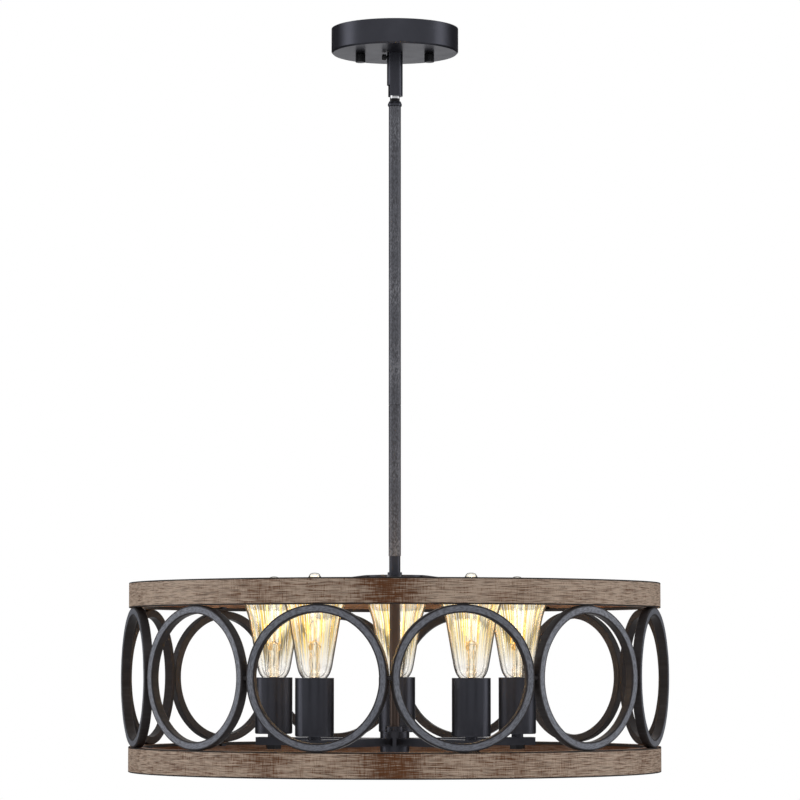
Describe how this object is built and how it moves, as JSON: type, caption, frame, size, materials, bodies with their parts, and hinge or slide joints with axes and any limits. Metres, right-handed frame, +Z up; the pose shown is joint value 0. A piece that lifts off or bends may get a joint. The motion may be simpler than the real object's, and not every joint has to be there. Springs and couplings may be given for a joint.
{
  "type": "drum chandelier",
  "caption": "Drum chandelier: wood-look hoops joined by flat dark rings, with upright bulbs on arms inside, hung by a rod and swivel from a round ceiling pan.",
  "frame": {"origin": "middle of the crossbar's upper face, on the ceiling plane", "axes": "+Z up along the hanging rod, -Y towards the front, +X to the right seen from the front"},
  "size_m": [0.5506, 0.5506, 0.7517],
  "materials": {
    "black_paint": "satin black powder coat",
    "ring_paint": "brushed dark iron paint",
    "wood_finish": "wood-grain paint on steel",
    "zinc_plate": "bright zinc plate",
    "green_plate": "green plated screw",
    "holder_plastic": "moulded insulator",
    "brass": "plain brass",
    "bulb_glass": "clear amber-tinted glass"
  },
  "bodies": {
    "ceiling_plate": {"crossbar": "zinc_plate", "crossbar_studs": "zinc_plate", "ground_screw": "green_plate", "canopy_pan": "black_paint", "canopy_collar": "black_paint", "collar_nut": "zinc_plate"},
    "knob_left": {"knob_left": "black_paint"},
    "knob_right": {"knob_right": "black_paint"},
    "thumb_screw": {"thumb_screw": "black_paint"},
    "swivel": {"swivel_bolt": "zinc_plate", "swivel_bush": "zinc_plate", "swivel_sleeve": "black_paint"},
    "drum": {"swivel_ball": "zinc_plate", "rod_ferrule": "black_paint", "upper_rod": "ring_paint", "rod_nipple": "zinc_plate", "lower_rod": "ring_paint", "stem_nipple": "zinc_plate", "stem_collar": "black_paint", "top_spider": "black_paint", "spider_screws": "black_paint", "spider_nut": "black_paint", "centre_tube": "black_paint", "upper_band": "wood_finish", "lower_band": "wood_finish", "ring_01": "ring_paint", "ring_02": "ring_paint", "ring_03": "ring_paint", "ring_04": "ring_paint", "ring_05": "ring_paint", "ring_06": "ring_paint", "ring_07": "ring_paint", "ring_08": "ring_paint", "ring_09": "ring_paint", "ring_10": "ring_paint", "ring_11": "ring_paint", "ring_12": "ring_paint", "ring_pins": "ring_paint", "ring_screws": "black_paint", "hub_collar": "black_paint", "lamp_hub": "black_paint", "hub_cap": "black_paint", "lamp_arms": "black_paint", "arm_nuts": "black_paint", "lamp_nipples": "zinc_plate", "socket_spacers": "black_paint", "socket_covers": "black_paint", "lamp_holders": "holder_plastic", "screw_shells": "brass", "spring_contacts": "brass"},
    "bulb_1": {"bulb_1_cap": "brass", "bulb_1_glass": "bulb_glass"},
    "bulb_2": {"bulb_2_cap": "brass", "bulb_2_glass": "bulb_glass"},
    "bulb_3": {"bulb_3_cap": "brass", "bulb_3_glass": "bulb_glass"},
    "bulb_4": {"bulb_4_cap": "brass", "bulb_4_glass": "bulb_glass"},
    "bulb_5": {"bulb_5_cap": "brass", "bulb_5_glass": "bulb_glass"}
  },
  "joints": [
    {"name": "knob_left_turn", "type": "hinge", "parent": "ceiling_plate", "child": "knob_left", "pos_m": [-0.035, 0, -0.029], "axis": [0, 0, 1], "continuous": true},
    {"name": "knob_right_turn", "type": "hinge", "parent": "ceiling_plate", "child": "knob_right", "pos_m": [0.035, 0, -0.029], "axis": [0, 0, 1], "continuous": true},
    {"name": "thumb_screw_turn", "type": "hinge", "parent": "ceiling_plate", "child": "thumb_screw", "pos_m": [0, 0, -0.029], "axis": [-0.9659, -0.2588, 0], "continuous": true},
    {"name": "sleeve_turn", "type": "hinge", "parent": "ceiling_plate", "child": "swivel", "pos_m": [0, 0, -0.0331], "axis": [0, 0, 1], "range_deg": [-180, 180]},
    {"name": "rod_tilt", "type": "hinge", "parent": "swivel", "child": "drum", "pos_m": [0, 0, -0.061], "axis": [-0.1736, 0.9848, 0], "range_deg": [0, 70]},
    {"name": "bulb_1_turn", "type": "hinge", "parent": "drum", "child": "bulb_1", "pos_m": [0, 0.13, -0.684], "axis": [0, 0, 1], "continuous": true},
    {"name": "bulb_2_turn", "type": "hinge", "parent": "drum", "child": "bulb_2", "pos_m": [-0.12364, 0.04017, -0.684], "axis": [0, 0, 1], "continuous": true},
    {"name": "bulb_3_turn", "type": "hinge", "parent": "drum", "child": "bulb_3", "pos_m": [-0.07641, -0.10517, -0.684], "axis": [0, 0, 1], "continuous": true},
    {"name": "bulb_4_turn", "type": "hinge", "parent": "drum", "child": "bulb_4", "pos_m": [0.07641, -0.10517, -0.684], "axis": [0, 0, 1], "continuous": true},
    {"name": "bulb_5_turn", "type": "hinge", "parent": "drum", "child": "bulb_5", "pos_m": [0.12364, 0.04017, -0.684], "axis": [0, 0, 1], "continuous": true}
  ]
}
